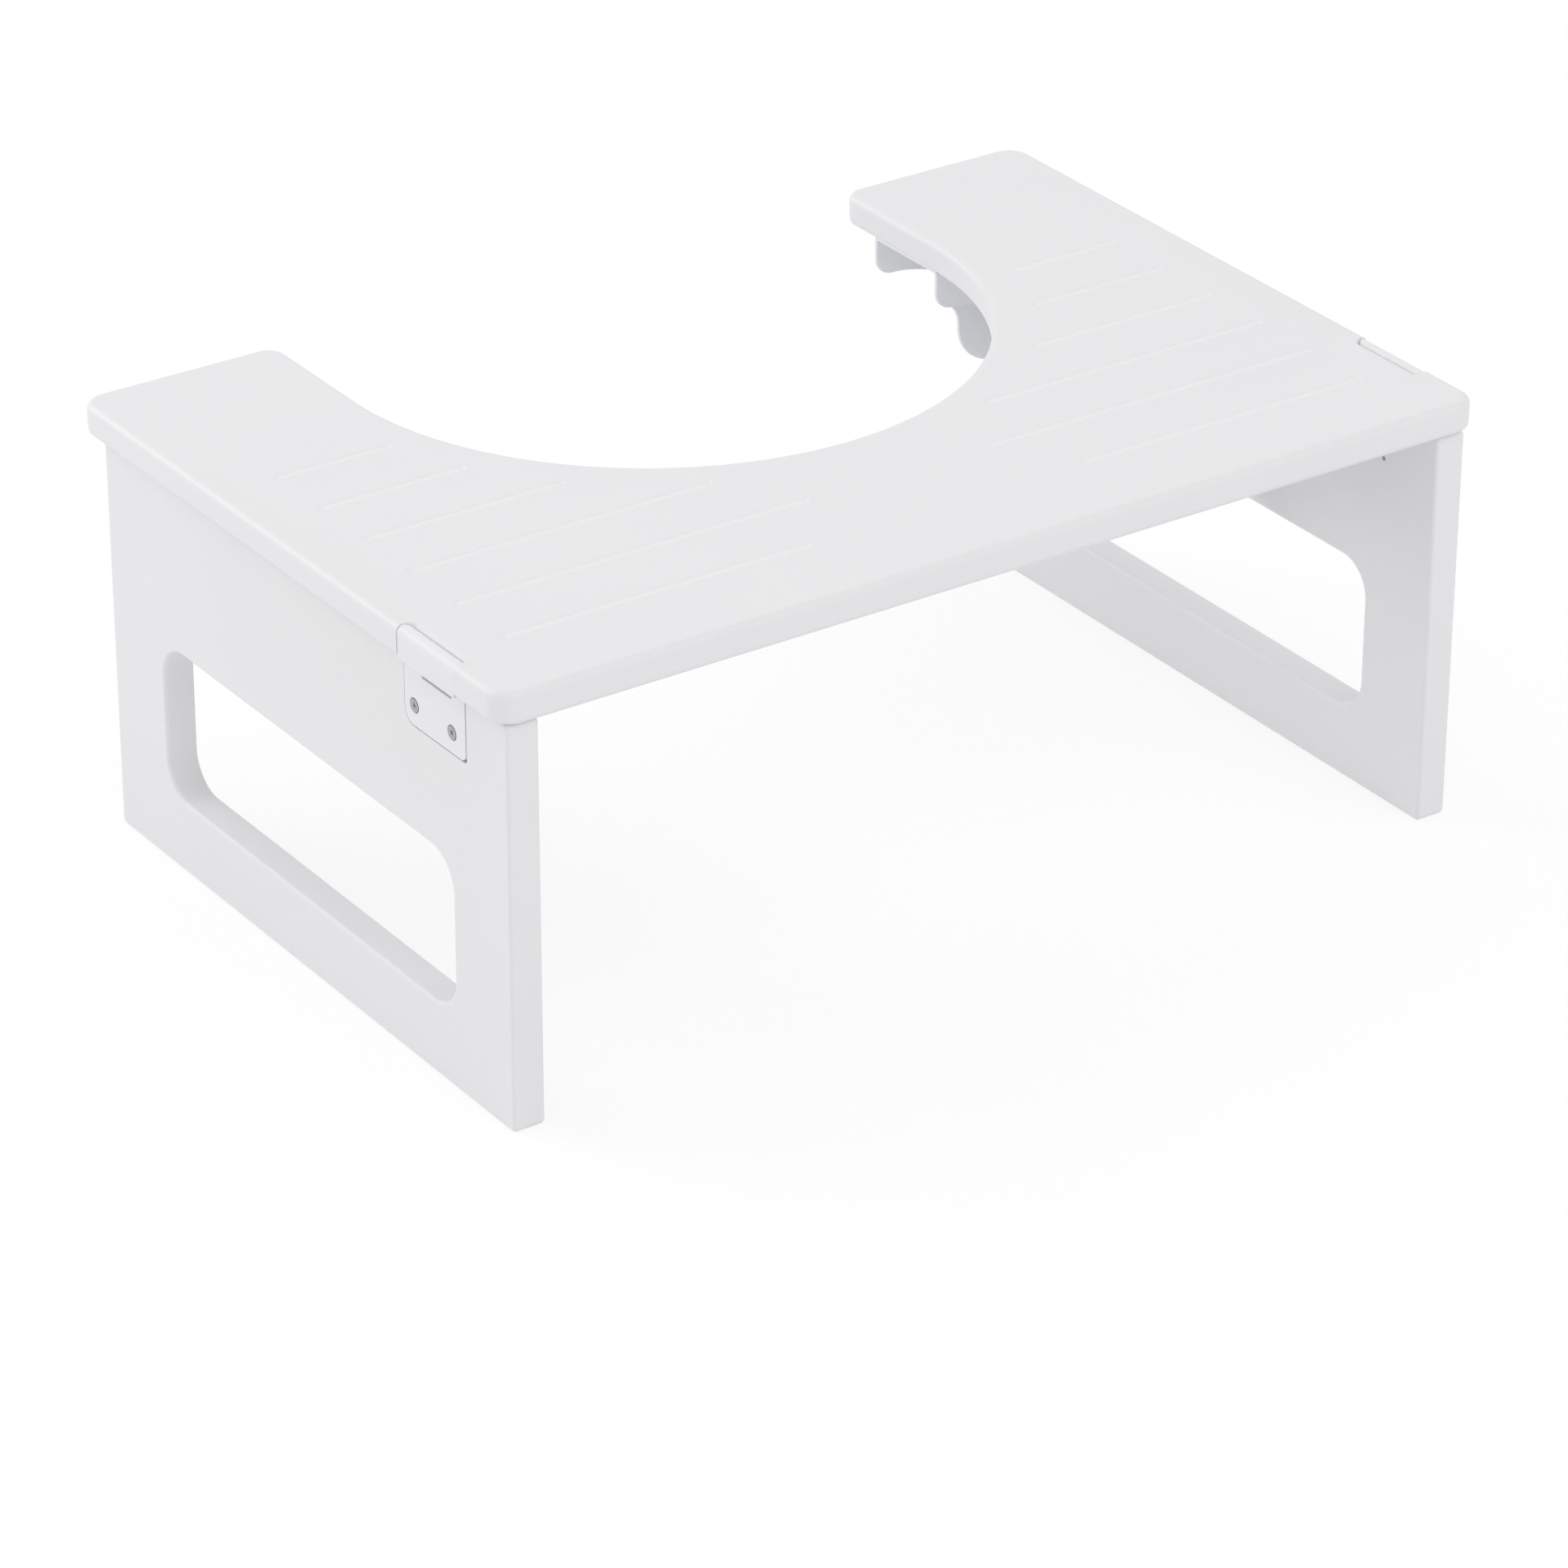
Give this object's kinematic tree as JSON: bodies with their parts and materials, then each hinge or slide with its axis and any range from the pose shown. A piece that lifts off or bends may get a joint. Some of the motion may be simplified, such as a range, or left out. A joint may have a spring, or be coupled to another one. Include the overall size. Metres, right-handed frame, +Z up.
{
  "type": "folding toilet footstool",
  "caption": "White footstool with a U-shaped cut-out in its grooved top and two windowed legs that fold inward on self-locking brackets.",
  "frame": {"origin": "on the floor under the middle of the top", "axes": "+Z up, X along the straight front edge, the U-shaped cut-out opens towards +Y"},
  "size_m": [0.438, 0.2976, 0.178],
  "materials": {
    "white_board": "satin white paint with a fine texture",
    "white_nylon": "white moulded plastic",
    "coated_steel": "white powder coating",
    "bare_steel": "zinc plated",
    "zinc_screw": "dull zinc plated"
  },
  "bodies": {
    "stool_top": {"top_board": "white_board", "left_edge_cap": "white_nylon", "left_rear_table_channel": "coated_steel", "left_rear_pivot_rivet": "bare_steel", "left_rear_lock_spring": "bare_steel", "left_rear_table_screw_outer": "zinc_screw", "left_rear_table_screw_inner": "zinc_screw", "left_front_table_channel": "coated_steel", "left_front_pivot_rivet": "bare_steel", "left_front_lock_spring": "bare_steel", "left_front_table_screw_outer": "zinc_screw", "left_front_table_screw_inner": "zinc_screw", "right_edge_cap": "white_nylon", "right_rear_table_channel": "coated_steel", "right_rear_pivot_rivet": "bare_steel", "right_rear_lock_spring": "bare_steel", "right_rear_table_screw_outer": "zinc_screw", "right_rear_table_screw_inner": "zinc_screw", "right_front_table_channel": "coated_steel", "right_front_pivot_rivet": "bare_steel", "right_front_lock_spring": "bare_steel", "right_front_table_screw_outer": "zinc_screw", "right_front_table_screw_inner": "zinc_screw"},
    "left_leg": {"left_leg_board": "white_board", "left_leg_plate": "white_nylon", "left_plate_screw_front": "zinc_screw", "left_plate_screw_rear": "zinc_screw", "left_rear_leg_channel": "coated_steel", "left_rear_leg_screw_upper": "zinc_screw", "left_rear_leg_screw_lower": "zinc_screw", "left_front_leg_channel": "coated_steel", "left_front_leg_screw_upper": "zinc_screw", "left_front_leg_screw_lower": "zinc_screw"},
    "left_rear_lock": {"left_rear_lock_bar": "bare_steel"},
    "left_front_lock": {"left_front_lock_bar": "bare_steel"},
    "right_leg": {"right_leg_board": "white_board", "right_leg_plate": "white_nylon", "right_plate_screw_front": "zinc_screw", "right_plate_screw_rear": "zinc_screw", "right_rear_leg_channel": "coated_steel", "right_rear_leg_screw_upper": "zinc_screw", "right_rear_leg_screw_lower": "zinc_screw", "right_front_leg_channel": "coated_steel", "right_front_leg_screw_upper": "zinc_screw", "right_front_leg_screw_lower": "zinc_screw"},
    "right_rear_lock": {"right_rear_lock_bar": "bare_steel"},
    "right_front_lock": {"right_front_lock_bar": "bare_steel"}
  },
  "joints": [
    {"name": "left_leg_fold", "type": "hinge", "parent": "stool_top", "child": "left_leg", "pos_m": [-0.1885, 0, 0.1457], "axis": [0, -1, 0], "range_deg": [0, 102]},
    {"name": "left_rear_lock_slide", "type": "slide", "parent": "stool_top", "child": "left_rear_lock", "axis": [0, 0, -1], "range_m": [0, 0.003], "deforming": ["left_rear_lock_spring"]},
    {"name": "left_front_lock_slide", "type": "slide", "parent": "stool_top", "child": "left_front_lock", "axis": [0, 0, -1], "range_m": [0, 0.003], "deforming": ["left_front_lock_spring"]},
    {"name": "right_leg_fold", "type": "hinge", "parent": "stool_top", "child": "right_leg", "pos_m": [0.1885, 0, 0.1457], "axis": [0, 1, 0], "range_deg": [0, 102]},
    {"name": "right_rear_lock_slide", "type": "slide", "parent": "stool_top", "child": "right_rear_lock", "axis": [0, 0, -1], "range_m": [0, 0.003], "deforming": ["right_rear_lock_spring"]},
    {"name": "right_front_lock_slide", "type": "slide", "parent": "stool_top", "child": "right_front_lock", "axis": [0, 0, -1], "range_m": [0, 0.003], "deforming": ["right_front_lock_spring"]}
  ],
  "couplings": [
    {"joint": "left_rear_lock_slide", "follows": "left_leg_fold", "m_per_rad": 0.0016852},
    {"joint": "left_front_lock_slide", "follows": "left_leg_fold", "m_per_rad": 0.0016852},
    {"joint": "right_rear_lock_slide", "follows": "right_leg_fold", "m_per_rad": 0.0016852},
    {"joint": "right_front_lock_slide", "follows": "right_leg_fold", "m_per_rad": 0.0016852}
  ]
}
